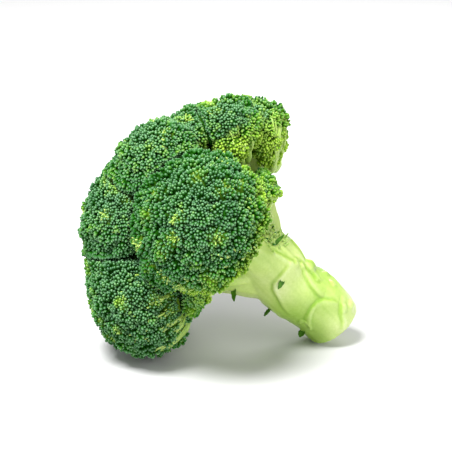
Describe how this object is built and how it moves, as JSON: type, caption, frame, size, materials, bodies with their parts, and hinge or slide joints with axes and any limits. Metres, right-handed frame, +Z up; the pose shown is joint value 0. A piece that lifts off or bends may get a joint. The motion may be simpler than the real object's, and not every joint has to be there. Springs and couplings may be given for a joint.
{
  "type": "broccoli head",
  "caption": "Head of broccoli lying on its side: rounded florets of tiny buds on thick branches, with a pale cut stem and a few small leaves.",
  "frame": {"origin": "centre of the bounding box's bottom face, on the surface that the head lies on", "axes": "+X is the head's longest extent, from the crown towards the cut end of the stem; +Z is up; -Y is the side with the large front floret"},
  "size_m": [0.1668, 0.1628, 0.1539],
  "materials": {
    "buds": "matte, waxy bloom on the tips",
    "stem": "smooth satin skin, moist fibrous cut face",
    "leaf": "waxy satin"
  },
  "bodies": {
    "root": {"stalk": "stem", "floret_front": "buds", "floret_apex": "buds", "floret_crest": "buds", "floret_upper": "buds", "floret_top_inner": "buds", "floret_top_outer": "buds", "floret_low": "buds", "floret_low_side": "buds", "floret_collar": "buds", "floret_back": "buds", "floret_back_upper": "buds", "floret_back_low": "buds", "floret_back_collar": "buds", "leaf_face": "leaf", "leaf_shoulder": "leaf", "leaf_under_fork": "leaf", "leaf_under_cut": "leaf", "leaf_back_waist": "leaf", "leaf_back_shoulder": "leaf", "leaf_hanging": "leaf"}
  },
  "joints": []
}
